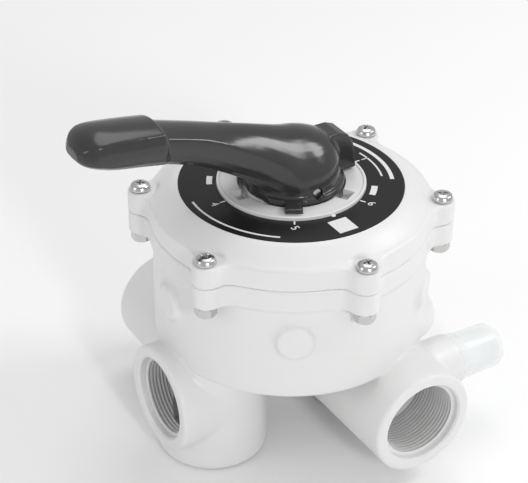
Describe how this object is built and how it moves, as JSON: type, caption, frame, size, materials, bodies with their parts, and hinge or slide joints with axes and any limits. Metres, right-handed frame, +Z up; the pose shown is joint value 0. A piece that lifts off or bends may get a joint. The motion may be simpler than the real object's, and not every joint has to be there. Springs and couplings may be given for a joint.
{
  "type": "multiport backwash valve",
  "caption": "Multiport backwash valve for a pool filter: round body, screwed cover with position ring, lever handle, threaded side outlets and a sight glass.",
  "frame": {"origin": "on the selector's turning axis, in the plane of the three side outlets' axes", "axes": "+Z up along the selector axis, towards the handle; the left outlet opens along -X and the right outlet along -Y"},
  "size_m": [0.2535, 0.194, 0.2343],
  "materials": {
    "white_abs": "satin",
    "black_label": "satin",
    "charcoal_plastic": "gloss",
    "rubber": "matte",
    "stainless": "polished",
    "nylon": "satin",
    "clear_plastic": "gloss"
  },
  "bodies": {
    "housing": {"valve_body": "white_abs", "cover": "white_abs", "position_label": "black_label", "cover_o_ring": "rubber", "seat_gasket": "rubber", "sight_glass": "clear_plastic", "sight_glass_o_ring": "rubber", "cover_screw_1": "stainless", "cover_screw_2": "stainless", "cover_screw_3": "stainless", "cover_screw_4": "stainless", "cover_screw_5": "stainless", "cover_screw_6": "stainless", "cover_nut_1": "stainless", "cover_nut_2": "stainless", "cover_nut_3": "stainless", "cover_nut_4": "stainless", "cover_nut_5": "stainless", "cover_nut_6": "stainless"},
    "spring_carrier": {"upper_spring_washer": "nylon", "key_spring": "stainless"},
    "rotor": {"selector_key": "nylon", "stem_o_ring_1": "rubber", "stem_o_ring_2": "rubber", "lower_spring_washer": "stainless", "handle_pin": "stainless"},
    "lever": {"handle": "charcoal_plastic"}
  },
  "joints": [
    {"name": "selector_turn", "type": "hinge", "parent": "housing", "child": "spring_carrier", "pos_m": [0, 0, 0.1], "axis": [0, 0, 1], "continuous": true},
    {"name": "key_lift", "type": "slide", "parent": "spring_carrier", "child": "rotor", "axis": [0, 0, 1], "range_m": [0, 0.0061], "deforming": ["key_spring"]},
    {"name": "handle_press", "type": "hinge", "parent": "rotor", "child": "lever", "pos_m": [0, 0, 0.1283], "axis": [0, -1, 0], "range_deg": [0, 12], "stiffness_Nm_per_rad": 6, "springref_deg": -20.05}
  ],
  "couplings": [
    {"joint": "key_lift", "follows": "handle_press", "m_per_rad": 0.029}
  ]
}
